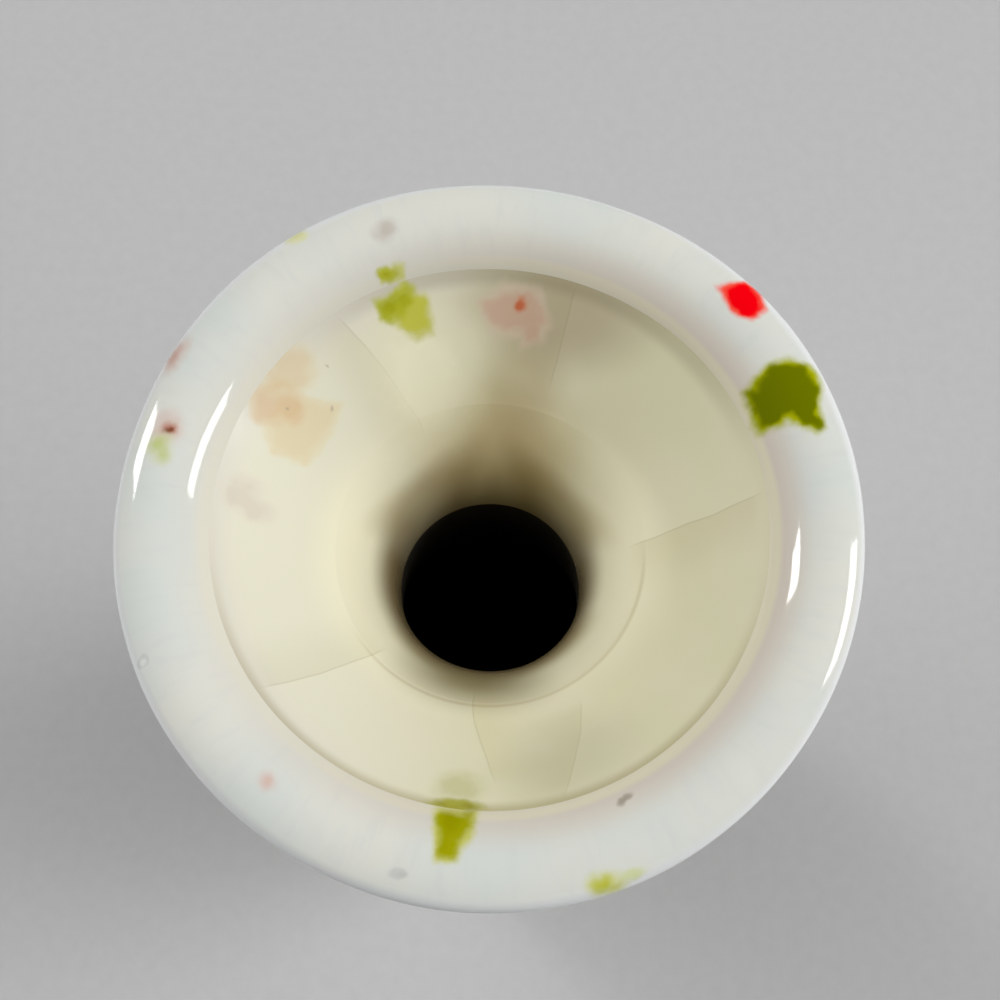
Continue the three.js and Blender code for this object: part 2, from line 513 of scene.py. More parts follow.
class Paint(Nodes):
    """Makes one material"""

    def __init__(self, name):
        self.material = bpy.data.materials.new(name)
        self.material.use_nodes = True
        super().__init__(self.material.node_tree)
        self.tree.nodes.clear()
        self.place = self.node("TexCoord").outputs["Object"]

    def span(self, value, low, high, to_low=0, to_high=1):
        """Eases from one result to another as a value goes from low to high"""
        inputs = {0: value, 1: low, 2: high, 3: to_low, 4: to_high}
        return self.node("MapRange", inputs, interpolation_type="SMOOTHSTEP").outputs[0]

    def mix(self, share, below, above):
        """One colour laid over another"""
        return self.node("Mix", {0: share, 6: below, 7: above}, data_type="RGBA").outputs[2]

    def multiply(self, share, below, above):
        """A colour darkened by another"""
        settings = {"data_type": "RGBA", "blend_type": "MULTIPLY"}
        return self.node("Mix", {0: share, 6: below, 7: above}, **settings).outputs[2]

    def noise(self, length, detail=2, place=None, seed=0, output=0):
        """Noise from 0 to 1 with bumps about a length apart: output 1 gives it as a colour"""
        shift = [seed * share for share in SEED_SHIFT]
        offset = self.vector("ADD", place or self.place, shift)
        return self.node("TexNoise", {0: offset, 2: 1 / length, 3: detail}).outputs[output]

    def steps(self, value, stops):
        """The colour of the last stop at or below a value, from (value, colour) stops"""
        made = self.node("ValToRGB", {0: value})
        made.color_ramp.interpolation = "CONSTANT"
        elements = made.color_ramp.elements
        elements.remove(elements[1])
        elements[0].position = stops[0][0]
        elements[0].color = stops[0][1]
        for place, colour in stops[1:]:
            elements.new(place).color = colour
        return made.outputs[0]

    def ragged_place(self, length, reach):
        """The place on the surface, stirred a little so that painted edges come out uneven"""
        stir = self.vector("SUBTRACT", self.noise(length, 3, output=1), (0.5, 0.5, 0.5))
        return self.vector("ADD", self.place, self.vector("MULTIPLY", stir, (reach, reach, reach)))

    def dab(self, place, mottle, glaze, dab):
        """The glaze with a dab of pigment under it"""
        depth = dab.strokes[0].depth(self, place)
        for stroke in dab.strokes[1:]:
            depth = self.math("SMOOTH_MAX", depth, stroke.depth(self, place), STROKE_BLEND)
        cover = self.span(depth, -dab.softness / 2, dab.softness / 2)
        cover = self.times(cover, dab.strength)
        core = self.span(self.math("ADD", depth, mottle), 0, dab.core_depth)
        return self.mix(cover, glaze, self.mix(core, shade(*dab.edge), shade(*dab.core)))

    def dabs(self, glaze, dabs):
        """The glaze with several dabs, their edges ragged and their colour uneven"""
        flat = self.flat(self.ragged_place(DAB_WANDER_LENGTH, DAB_WANDER))
        mottle = self.noise(MOTTLE_LENGTH, 1, seed=7)
        mottle = self.span(mottle, *MOTTLE_SPAN, -MOTTLE, MOTTLE)
        for dab in dabs:
            glaze = self.dab(flat, mottle, glaze, dab)
        return glaze

    def stain_and_shade(self, glaze, stain_and_shade):
        """The glaze darkened softly round a place in the mouth by painted shade"""
        depth = stain_and_shade.stroke.depth(self, self.flat(self.place))
        return self.multiply(self.span(depth, 0, stain_and_shade.softness), glaze, shade(*stain_and_shade.tone))

    def flat(self, place):
        """A place as seen from above"""
        return self.vector("MULTIPLY", place, (1, 1, 0))

    def polar(self):
        """Azimuth in radians and distance from the axis"""
        parts = self.node("SeparateXYZ", {0: self.place})
        azimuth = self.math("ARCTAN2", parts.outputs[1], parts.outputs[0])
        return azimuth, self.vector("LENGTH", self.flat(self.place))

    def facing(self, azimuth, towards):
        """1 where the azimuth is the one given, falling to -1 opposite it"""
        return self.math("COSINE", self.math("SUBTRACT", azimuth, towards))

    def crack_offset(self, azimuth, radius, crack):
        """Distance round the axis from a crack, positive anticlockwise of it"""
        outer = math.radians(crack.outer)
        inner = math.radians(crack.inner)
        inputs = {0: radius, 1: CREASE_RADIUS, 2: RING_RADIUS, 3: outer, 4: inner}
        track = self.node("MapRange", inputs).outputs[0]
        away = self.math("WRAP", self.math("SUBTRACT", azimuth, track), math.pi, -math.pi)
        return self.times(away, radius)

    def crack(self, azimuth, radius, glaze, crack):
        """The glaze with a hairline crack, and the stain that lies along one side of it"""
        wander = self.noise(CRACK_WANDER_LENGTH, 1, seed=crack.outer)
        wander = self.math("SUBTRACT", wander, 0.5)
        offset = self.crack_offset(azimuth, radius, crack)
        offset = self.math("MULTIPLY_ADD", wander, CRACK_WANDER, offset)
        reach = self.times(
            self.span(radius, crack.end - CRACK_FADE, crack.end),
            self.span(radius, crack.start, crack.start - CRACK_FADE),
        )
        side = self.times(offset, crack.side)
        stain_and_shade = self.span(side, CRACK_STAIN_WIDTH, 0)
        stain_and_shade = self.times(stain_and_shade, self.math("GREATER_THAN", side, 0))
        glaze = self.multiply(self.times(stain_and_shade, reach), glaze, shade(*crack.tone))
        hair = self.span(self.math("ABSOLUTE", offset), CRACK_WIDTH, 0)
        hair = self.times(self.times(hair, reach), crack.strength)
        return self.multiply(hair, glaze, CRACK_SHADE)

    def finish(self, colour, roughness, bump=None):
        """The finished material"""
        inputs = {"Base Color": colour, "Roughness": roughness, "Specular IOR Level": SHEEN}
        if bump is not None:
            inputs["Normal"] = bump
        surface = self.node("BsdfPrincipled", inputs).outputs[0]
        self.node("OutputMaterial", {0: surface})
        return self.material


def mouth_spot(azimuth, radius):
    """A place in the mouth as seen from above, from its azimuth in degrees and its radius"""
    turn = math.radians(azimuth)
    return Vector((radius * math.cos(turn), radius * math.sin(turn), 0))


@dataclass
class Round:
    """An oval stroke: its place in the mouth, its half-sizes across and along the radius there, and
    how far it is turned, with angles in degrees"""
    azimuth: float
    radius: float
    across: float
    along: float
    turn: float = 0

    def depth(self, paint, place):
        """How far inside the stroke a place lies"""
        inputs = {
            "Vector": place,
            "Location": mouth_spot(self.azimuth, self.radius),
            "Rotation": (0, 0, math.radians(self.azimuth + self.turn)),
            "Scale": (self.along, self.across, 1),
        }
        local = paint.node("Mapping", inputs, vector_type="TEXTURE").outputs[0]
        least = min(self.across, self.along)
        return paint.math("MULTIPLY_ADD", paint.vector("LENGTH", local), -least, least)


@dataclass
class Patch:
    """A straight-sided stroke: the azimuth and radius of each of its corners in turn"""
    corners: tuple

    def depth(self, paint, place):
        """How far inside the stroke a place lies"""
        spots = [mouth_spot(*corner) for corner in self.corners]
        middle = sum(spots, Vector()) / len(spots)
        inside = None
        for index, spot in enumerate(spots):
            side = spot - spots[index - 1]
            inwards = Vector((-side.y, side.x, 0)).normalized()
            if inwards.dot(middle - spot) < 0:
                inwards = -inwards
            reach = paint.vector("DOT_PRODUCT", place, inwards)
            reach = paint.math("SUBTRACT", reach, inwards.dot(spot))
            inside = paint.math("SMOOTH_MIN", inside, reach, STROKE_BLEND) if inside else reach
        return inside


@dataclass
class Dab:
    """A dab of pigment: its strokes, its colours on a screen at its edge and core, how strongly it
    covers, how wide its soft edge is, and how far inside it has its core's colour"""
    strokes: tuple
    edge: tuple
    core: tuple
    strength: float = 1
    softness: float = 0.0004
    core_depth: float = 0.0008


@dataclass
class PaintedShade:
    """Painted shade: a soft darkening of the glaze, with its tone on a screen against white"""
    stroke: Round
    softness: float
    tone: tuple


@dataclass
class Crack:
    """A crack from the crease to the ring: its azimuth in degrees at each, its stained side and that
    stain's tone, the radii between which it shows, and how strongly"""
    outer: float
    inner: float
    side: int
    tone: tuple
    start: float = 0.0188
    end: float = 0.0111
    strength: float = 0.35


LIP_DABS = (
    # Red leaf at the far right
    Dab(
        (Patch((
            (46.8, 0.0229), (44.2, 0.0249), (40.2, 0.0249),
            (38, 0.0242), (38.2, 0.0228), (41, 0.0223),
        )),),
        edge=(255, 92, 74), core=(255, 0, 16),
        softness=0.0006, core_depth=0.0006,
    ),
    # Olive bell at the right
    Dab(
        (
            Round(24.2, 0.022, 0.0022, 0.0025),
            Patch(((28.5, 0.0196), (26, 0.0216), (19.6, 0.0215), (17.8, 0.0208), (18.6, 0.0192))),
            Patch(((26, 0.0213), (24, 0.0238), (15.2, 0.0235), (14.6, 0.0227), (18, 0.0212))),
        ),
        edge=(178, 182, 8), core=(110, 119, 0),
        softness=0.0007, core_depth=0.0007,
    ),
    # Small yellow-green square over the far left crease
    Dab(
        (Patch(((113.2, 0.02), (107.6, 0.0198), (108.2, 0.0187), (113.8, 0.0191))),),
        edge=(208, 208, 128), core=(182, 184, 58), core_depth=0.0006,
    ),
    Dab(
        (Round(112.2, 0.0195, 0.0006, 0.0005),),
        edge=(186, 188, 58), core=(166, 168, 20), core_depth=0.0005,
    ),
    # Faint brown dot at the far left
    Dab(
        (Round(109.6, 0.0221, 0.0009, 0.0008),),
        edge=(214, 210, 202), core=(196, 186, 174),
        strength=0.8, softness=0.0007,
    ),
    # Brown smear at the left edge
    Dab(
        (Round(151.9, 0.0243, 0.0014, 0.0006),),
        edge=(216, 196, 186), core=(204, 170, 156),
        strength=0.8, softness=0.0007,
    ),
    Dab(
        (Round(152.4, 0.0244, 0.0008, 0.00035),),
        edge=(204, 166, 152), core=(192, 146, 130),
        strength=0.6, softness=0.0005,
    ),
    # Brown dot at the left, in its pink halo
    Dab(
        (Round(163.8, 0.0225, 0.0012, 0.0012),),
        edge=(222, 208, 200), core=(214, 184, 170),
        strength=0.7, softness=0.0009,
    ),
    Dab(
        (Round(164, 0.02235, 0.00042, 0.00045),),
        edge=(196, 146, 128), core=(134, 74, 52),
        softness=0.0005, core_depth=0.0004,
    ),
    # Green smear beside the dot
    Dab(
        (Round(167.2, 0.0227, 0.0009, 0.0009), Round(168.6, 0.0223, 0.0007, 0.0007)),
        edge=(214, 218, 182), core=(194, 204, 116),
        strength=0.8, softness=0.0008,
    ),
    # Yellow touch on the far left edge
    Dab(
        (Round(123.5, 0.0246, 0.0008, 0.0005),),
        edge=(226, 226, 184), core=(218, 218, 124), softness=0.0005,
    ),
    # Faint pink spot at the near left
    Dab(
        (Round(231, 0.0219, 0.0007, 0.0007),),
        edge=(222, 210, 202), core=(220, 180, 166),
        strength=0.75, softness=0.0006,
    ),
    # Olive block across the near crease
    Dab(
        (Patch((
            (259.3, 0.0188), (268.4, 0.0185), (267.2, 0.0203), (264.5, 0.0221), (260.8, 0.0221),
        )),),
        edge=(204, 204, 112), core=(166, 166, 6),
        softness=0.0006, core_depth=0.0007,
    ),
    Dab(
        (Patch((
            (261, 0.0189), (266.2, 0.0188), (265.2, 0.0204), (263.4, 0.0215), (261.4, 0.0216),
        )),),
        edge=(162, 162, 14), core=(144, 144, 0),
        strength=0.55, softness=0.0007,
    ),
    # Yellow-green smears at the near right edge
    Dab(
        (Round(286.8, 0.0242, 0.0011, 0.0007), Round(288, 0.0246, 0.0008, 0.0005)),
        edge=(214, 217, 150), core=(196, 198, 70), softness=0.0006,
    ),
    Dab(
        (Round(291.3, 0.0243, 0.0008, 0.0004),),
        edge=(214, 220, 168), core=(204, 214, 124), strength=0.8,
    ),
    # Grey and brown specks on the near lip
    Dab(
        (Round(256.1, 0.0233, 0.0005, 0.0004),),
        edge=(202, 202, 198), core=(172, 168, 168),
        strength=0.7, softness=0.0003,
    ),
    Dab(
        (Round(295, 0.02005, 0.0005, 0.0002, 20),),
        edge=(178, 168, 152), core=(126, 116, 104),
        strength=0.8, softness=0.0002,
    ),
    # Pit at the left: painted shade as a dark rim round a painted highlight
    Dab(
        (Round(203.3, 0.0241, 0.00045, 0.0004),),
        edge=(206, 208, 204), core=(228, 230, 226),
        strength=0.8, softness=0.0002, core_depth=0.0003,
    ),
)

FUNNEL_DABS = (
    # Paler glaze beside the far left crack
    Dab(
        (Round(111, 0.0133, 0.0034, 0.0038),),
        edge=(240, 236, 206), core=(248, 244, 214),
        strength=0.8, softness=0.004, core_depth=0.002,
    ),
    # Yellow-green block under the far left crease: a wide field with a dark band along its top
    Dab(
        (
            Patch(((116.6, 0.0181), (109.2, 0.0188), (104.4, 0.0175), (105, 0.0162), (116.8, 0.0171))),
            Patch(((114.2, 0.0178), (105, 0.0179), (105, 0.0154), (110, 0.0153), (114.4, 0.0165))),
        ),
        edge=(214, 212, 140), core=(202, 202, 80),
        softness=0.0006, core_depth=0.0007,
    ),
    Dab(
        (
            Patch(((116.6, 0.0184), (108, 0.0188), (106.4, 0.0181), (110, 0.0173), (116.4, 0.0171))),
            Round(113.4, 0.0175, 0.0009, 0.0007),
        ),
        edge=(184, 187, 40), core=(160, 165, 0),
        strength=0.85, softness=0.0006,
    ),
    # Pink cloud with a small red dot
    Dab(
        (
            Patch(((93, 0.017), (87, 0.0181), (78, 0.0179), (74, 0.016), (80, 0.0149), (91, 0.0153))),
            Patch(((82.6, 0.0164), (75.2, 0.0163), (75.4, 0.0147), (81.4, 0.0144))),
        ),
        edge=(222, 202, 180), core=(214, 172, 152),
        strength=0.65, softness=0.0009,
    ),
    Dab(
        (Round(82.5, 0.0169, 0.0004, 0.0004),),
        edge=(212, 150, 116), core=(204, 112, 76),
        softness=0.0005, core_depth=0.0005,
    ),
    # Peach field with a straight upper side, and its darker part
    Dab(
        (Patch((
            (155, 0.0172), (147, 0.0176), (136, 0.0143),
            (146, 0.0136), (158.4, 0.014), (160, 0.0165),
        )),),
        edge=(229, 218, 184), core=(226, 209, 168),
        strength=0.75, softness=0.0005,
    ),
    Dab(
        (Round(149.2, 0.0175, 0.0017, 0.0014), Round(147.8, 0.0167, 0.0013, 0.0012)),
        edge=(225, 203, 166), core=(219, 186, 142),
        strength=0.7, softness=0.0006,
    ),
    # Lighter peach lobe above it
    Dab(
        (Round(140.4, 0.0179, 0.0018, 0.0014), Round(144.6, 0.0182, 0.0012, 0.0009)),
        edge=(227, 214, 180), core=(223, 201, 158),
        strength=0.65, softness=0.0009,
    ),
    # Faint smudge at the left
    Dab(
        (
            Round(172.8, 0.0173, 0.0011, 0.0011),
            Round(174.4, 0.0162, 0.001, 0.0013),
            Round(169.6, 0.0169, 0.0009, 0.0011),
        ),
        edge=(222, 213, 196), core=(211, 197, 182),
        strength=0.5, softness=0.0008,
    ),
    # Near block inside the crease: a soft darker green start, and along the crease a dark olive band,
    # pigment under painted shadow from the lip
    Dab(
        (Round(263.6, 0.0174, 0.0017, 0.0011),),
        edge=(206, 204, 158), core=(184, 182, 112),
        strength=0.5, softness=0.0009,
    ),
    Dab(
        (Round(263.3, 0.01858, 0.0017, 0.0004),),
        edge=(170, 168, 60), core=(116, 114, 0), strength=0.95,
    ),
    # Specks in the left of the funnel
    Dab(
        (
            Round(148.7, 0.01676, 0.00013, 0.00013),
            Round(140.1, 0.01466, 0.00016, 0.0001, 30),
            Round(153.7, 0.01946, 0.00012, 0.00012),
            Round(133.1, 0.01676, 0.00009, 0.00012),
        ),
        edge=(196, 180, 156), core=(158, 140, 120),
        strength=0.5, softness=0.00018, core_depth=0.0002,
    ),
)

CRACKS = (
    Crack(125.3, 118.3, 1, (246, 245, 240)),
    Crack(71.1, 69, 1, (250, 249, 246), end=0.0133, strength=0.25),
    Crack(7, 3.1, -1, (247, 244, 239)),
    Crack(215.9, 223.4, -1, (247, 247, 243)),
    Crack(273.8, 263.6, 1, (252, 249, 243), start=0.0172, strength=0.3),
    Crack(283.8, 303, -1, (249, 248, 243), end=0.0136, strength=0.25),
)

# Painted shade over the funnel and throat
PAINTED_SHADES = (
    PaintedShade(Round(74, 0.0168, 0.0096, 0.0044), 0.0034, (218, 210, 206)),
    PaintedShade(Round(288, 0.016, 0.0068, 0.0042), 0.0034, (238, 238, 236)),
    PaintedShade(Round(130, 0.0074, 0.0066, 0.0019), 0.0012, (214, 206, 190)),
    PaintedShade(Round(46, 0.0073, 0.0068, 0.0017), 0.0012, (218, 210, 194)),
    PaintedShade(Round(232, 0.0079, 0.0036, 0.0017), 0.0013, (216, 209, 192)),
    PaintedShade(Round(86, 0.0082, 0.008, 0.0052), 0.004, (241, 228, 206)),
    PaintedShade(Round(80, 0.0125, 0.0044, 0.0042), 0.0034, (233, 227, 218)),
    PaintedShade(Round(262, 0.0087, 0.0072, 0.004), 0.0036, (162, 154, 132)),
    PaintedShade(Round(305, 0.0074, 0.005, 0.002), 0.0013, (208, 199, 180)),
)

# Glaze and clay colours as they show on a screen, with the painted light and shade
WHITE_GLAZE = shade(227, 227, 217)
COOL_GLAZE = shade(219, 224, 218)
# Pink beside the crease, with painted shade
CREASE_PINK_AND_SHADE = shade(220, 210, 198)
BEAD_GLAZE = shade(229, 223, 198)
# Painted sheen along the rim
PAINTED_EDGE_SHEEN = shade(236, 238, 238)
STREAK_GLAZE = shade(214, 217, 213)
CREAM_GLAZE = shade(230, 225, 195)
GREEN_CREAM_GLAZE = shade(226, 223, 189)
PALE_CREAM_GLAZE = shade(231, 228, 207)
# Painted shade at the near crease
NEAR_CREASE_SHADE = shade(204, 195, 172)
FRINGE_GLAZE = shade(226, 222, 208)
LIP_SHADOW = shade(228, 226, 222)
RING_SHADE = shade(206, 194, 170)
# Painted light past the ring
RING_PAINTED_LIGHT = shade(243, 239, 211)
# Painted shade towards the throat
THROAT_SHADE = shade(140, 124, 90)
# Painted shade inside below the throat
INSIDE_SHADE = shade(46, 42, 34)
CLAY = shade(214, 202, 176)
# Darker painted shade inside below the throat
DARKER_INSIDE_SHADE = shade(34, 30, 24)
DARK_CLAY = shade(190, 176, 148)
THIN_PIGMENT = shade(222, 218, 176)
FLOOR_GREY = shade(200, 200, 200)
DARK_FLOOR_GREY = shade(192, 192, 192)

# How far apart the uneven tones and bumps lie, how deep the bumps are, and the noise between which
# a second tone comes in
WHITE_TINT_LENGTH = 0.011
WHITE_TINT_SPAN = (0.35, 0.65)
CREAM_TINT_LENGTH = 0.008
CREAM_TINT_SPAN = (0.35, 0.7)
INSIDE_TINT_LENGTH = 0.006
FLOOR_TINT_LENGTH = 0.002
CLAY_GRAIN = 0.0004
CLAY_BUMP = 0.00003
GLAZE_BUMP_LENGTH = 0.0014
GLAZE_BUMP = 0.000004

# Fine streaks out across the lip: their spacing, the noise between which they come in, the circle
# on which the noise is read, and how much it changes along the radius
STREAK_LENGTH = 0.0011
STREAK_SPAN = (0.45, 0.8)
STREAK_CIRCLE = 0.02
STREAK_DRIFT = 0.35
STREAK_STRENGTH = 0.4

# The lip's glaze comes in between these distances below and above its seat
LIP_GLAZE_BELOW = 0.001
LIP_GLAZE_ABOVE = 0.0005

# Bands along the lip: how far out from the crease, or in from the rim, each starts and is full,
# and the least share of the pink with its painted shade; the band at the rim is a painted sheen
PINK_AND_SHADE_REACH = 0.0029
PINK_AND_SHADE_FULL = 0.0007
PINK_AND_SHADE_LEAST = 0.25
BEAD_REACH = 0.0008
BEAD_FULL = 0.0004
EDGE_SHEEN_START = 0.0009
EDGE_SHEEN_FULL = 0.0002

# The funnel is paler to the left, between these places across it
PALE_START = 0.003
PALE_FULL = -0.013

# Painted light past the ring: how far outside it starts, how far inside it is full, and its least
# share
RING_LIGHT_OUTSIDE = 0.0024
RING_LIGHT_INSIDE = 0.001
RING_LIGHT_LEAST = 0.2

# Sines of the azimuths, far and near, between which the near side's painted light and shade gain
# strength
FAR_SIDE = 0.9
NEAR_SIDE = 0.1

# Shade inside the crease, nearer and farther round: how far in it reaches, how far in the far one is
# full, the cosines between which it comes in round the mouth, and the near one's shares there
NEAR_SHADE_REACH = 0.0008
NEAR_SHADE_SPAN = (0, 0.8)
NEAR_SHADE_SHARES = (0.05, 0.7)
FAR_SHADE_REACH = 0.0013
FAR_SHADE_FULL = 0.0004
FAR_SHADE_SPAN = (0.45, 0.95)

# Where the painted shade starts to darken the glaze towards the throat, its least share, and the side
# on which it starts farther out
DEEP_RADIUS = 0.0089
DEEP_LEAST = 0.15
DEEP_LEAN = math.radians(235)
DEEP_LEAN_SIZE = 0.0003

# Where round the mouth the crease's pink with its painted shade, and the painted shade on the near
# and far sides, are strongest
PINK_AND_SHADE_AZIMUTH = math.radians(-10)
NEAR_SHADE_AZIMUTH = math.radians(-95)
SHADOW_AZIMUTH = math.radians(74)

# Where the cream runs softly into the white, the cosines between which it comes in there, and how
# far it reaches on either side of the crease
FRINGE_AZIMUTH = math.radians(165)
FRINGE_SPAN = (0, 0.7)
FRINGE_INSIDE = 0.0022
FRINGE_OUTSIDE = 0.0012

# Fine line at the ring: where its circle leans, how far, and where it fades out
RING_LEAN = math.radians(250)
RING_LEAN_SIZE = 0.0002
RING_LINE_MIDDLE = math.radians(287)
RING_LINE_SPREAD = math.radians(78)
RING_LINE_WIDTH = 0.00022
RING_LINE_FULL = 0.7
RING_LINE_STRENGTH = 0.4


def glaze_bump(paint):
    """The slight unevenness of fired glaze"""
    waves = paint.noise(GLAZE_BUMP_LENGTH, 1)
    return paint.node("Bump", {"Height": waves, "Distance": GLAZE_BUMP}).outputs[0]


def radial_streaks(paint):
    """Noise that varies round the axis and hardly along the radius"""
    flat = paint.flat(paint.place)
    direction = paint.vector("NORMALIZE", flat)
    circle = paint.vector("MULTIPLY", direction, (STREAK_CIRCLE, STREAK_CIRCLE, 0))
    spread = paint.vector("MULTIPLY_ADD", flat, (STREAK_DRIFT, STREAK_DRIFT, 0), circle)
    return paint.noise(STREAK_LENGTH, 2, place=spread)


def fringe(paint, azimuth, radius, reach):
    """1 at the crease, fading out over a reach, where the cream runs into the white"""
    facing_left = paint.facing(azimuth, FRINGE_AZIMUTH)
    beside = paint.span(radius, CREASE_RADIUS + reach, CREASE_RADIUS)
    return paint.times(beside, paint.span(facing_left, *FRINGE_SPAN))


def outer_glaze():
    """White glaze of the body and lip, with the lip's bands, partly painted shade and sheen, streaks
    and dabs
    """
    paint = Paint("outer_glaze")
    azimuth, radius = paint.polar()
    height = paint.node("SeparateXYZ", {0: paint.place}).outputs[2]
    tint = paint.span(paint.noise(WHITE_TINT_LENGTH, 2, seed=3), *WHITE_TINT_SPAN)
    colour = paint.mix(tint, WHITE_GLAZE, COOL_GLAZE)
    on_lip = paint.span(height, SEAT_HEIGHT - LIP_GLAZE_BELOW, SEAT_HEIGHT + LIP_GLAZE_ABOVE)
    streak = paint.times(paint.span(radial_streaks(paint), *STREAK_SPAN), on_lip)
    streak = paint.times(streak, STREAK_STRENGTH)
    colour = paint.mix(streak, colour, STREAK_GLAZE)
    # Pink beside the crease, strongest to the right, where it is partly painted shade on the lip's
    # inner slope
    beside = paint.span(paint.facing(azimuth, PINK_AND_SHADE_AZIMUTH), -1, 1, PINK_AND_SHADE_LEAST, 1)
    beside = paint.times(on_lip, beside)
    pink_and_shade_band = paint.span(radius, CREASE_RADIUS + PINK_AND_SHADE_REACH, CREASE_RADIUS + PINK_AND_SHADE_FULL)
    colour = paint.mix(paint.times(pink_and_shade_band, beside), colour, CREASE_PINK_AND_SHADE)
    bead = paint.span(radius, CREASE_RADIUS + BEAD_REACH, CREASE_RADIUS + BEAD_FULL)
    colour = paint.mix(paint.times(bead, beside), colour, BEAD_GLAZE)
    left_fringe = paint.times(fringe(paint, azimuth, radius, FRINGE_OUTSIDE), on_lip)
    colour = paint.mix(left_fringe, colour, FRINGE_GLAZE)
    # Painted sheen along the rim
    edge = paint.span(radius, MOUTH_RADIUS - EDGE_SHEEN_START, MOUTH_RADIUS - EDGE_SHEEN_FULL)
    colour = paint.mix(paint.times(edge, on_lip), colour, PAINTED_EDGE_SHEEN)
    colour = paint.mix(on_lip, colour, paint.dabs(colour, LIP_DABS))
    colour = body_dabs(paint, colour, height)
    return paint.finish(colour, OUTER_ROUGHNESS, glaze_bump(paint))


# Dabs scattered over the body: how far apart, how far a dab may shift and how many places are left
# empty, and as shares of the distance apart the largest dab, its soft edge and its thin rim
SCATTER = 0.0105
SCATTER_LOOSENESS = 0.85
SCATTER_EMPTY = 0.12
SCATTER_LARGEST = 0.34
SCATTER_SOFT = (-0.01, 0.05)
SCATTER_THIN = 0.14
SCATTER_WANDER = 0.0044
SCATTER_WANDER_LENGTH = 0.0026

# The heights between which they lie, and how far they fade out there
SCATTER_TOP = SEAT_HEIGHT - 0.006
SCATTER_BOTTOM = FOOT_HEIGHT + 0.002
SCATTER_FADE = 0.002

# Their pigments, each with the share at which it starts
SCATTER_PIGMENTS = (
    (0, (104, 114, 4)),
    (0.22, (160, 160, 20)),
    (0.36, (236, 30, 32)),
    (0.48, (212, 160, 134)),
    (0.62, (184, 192, 92)),
    (0.72, (210, 168, 152)),
)


def body_dabs(paint, glaze, height):
    """The glaze of the body with dabs like the lip's scattered over it"""
    place = paint.ragged_place(SCATTER_WANDER_LENGTH, SCATTER_WANDER)
    inputs = {"Vector": place, "Scale": 1 / SCATTER, "Randomness": SCATTER_LOOSENESS}
    cells = paint.node("TexVoronoi", inputs, feature="F1")
    chance = paint.node("SeparateColor", {0: cells.outputs["Color"]}).outputs
    size = paint.span(chance[1], SCATTER_EMPTY, 1, 0, SCATTER_LARGEST)
    within = paint.math("SUBTRACT", size, cells.outputs["Distance"])
    cover = paint.span(within, *SCATTER_SOFT)
    band = paint.times(
        paint.span(height, SCATTER_BOTTOM, SCATTER_BOTTOM + SCATTER_FADE),
        paint.span(height, SCATTER_TOP, SCATTER_TOP - SCATTER_FADE),
    )
    cover = paint.times(cover, band)
    stops = [(start, shade(*pigment)) for start, pigment in SCATTER_PIGMENTS]
    pigment = paint.steps(chance[0], stops)
    pigment = paint.mix(paint.span(within, 0, SCATTER_THIN), THIN_PIGMENT, pigment)
    return paint.mix(cover, glaze, pigment)


def ring_line(paint, azimuth, radius):
    """1 on the fine line where the funnel steepens, fading out round the far side"""
    lean = paint.facing(azimuth, RING_LEAN)
    circle = paint.math("MULTIPLY_ADD", lean, RING_LEAN_SIZE, RING_RADIUS)
    away = paint.math("ABSOLUTE", paint.math("SUBTRACT", radius, circle))
    line = paint.span(away, RING_LINE_WIDTH, 0)
    turn = paint.facing(azimuth, RING_LINE_MIDDLE)
    start = math.cos(RING_LINE_SPREAD)
    full = math.cos(RING_LINE_SPREAD * RING_LINE_FULL)
    return paint.times(line, paint.span(turn, start, full))


def crease_shade(paint, azimuth, radius, colour):
    """The colour with the shade beside the crease, nearer and farther round"""
    near = paint.facing(azimuth, NEAR_SHADE_AZIMUTH)
    near_shade = paint.span(radius, CREASE_RADIUS - NEAR_SHADE_REACH, CREASE_RADIUS)
    near_share = paint.span(near, *NEAR_SHADE_SPAN, *NEAR_SHADE_SHARES)
    near_shade = paint.times(near_shade, near_share)
    colour = paint.multiply(near_shade, colour, NEAR_CREASE_SHADE)
    far = paint.facing(azimuth, SHADOW_AZIMUTH)
    far_shade = paint.span(radius, CREASE_RADIUS - FAR_SHADE_REACH, CREASE_RADIUS - FAR_SHADE_FULL)
    far_shade = paint.times(far_shade, paint.span(far, *FAR_SHADE_SPAN))
    return paint.multiply(far_shade, colour, LIP_SHADOW)


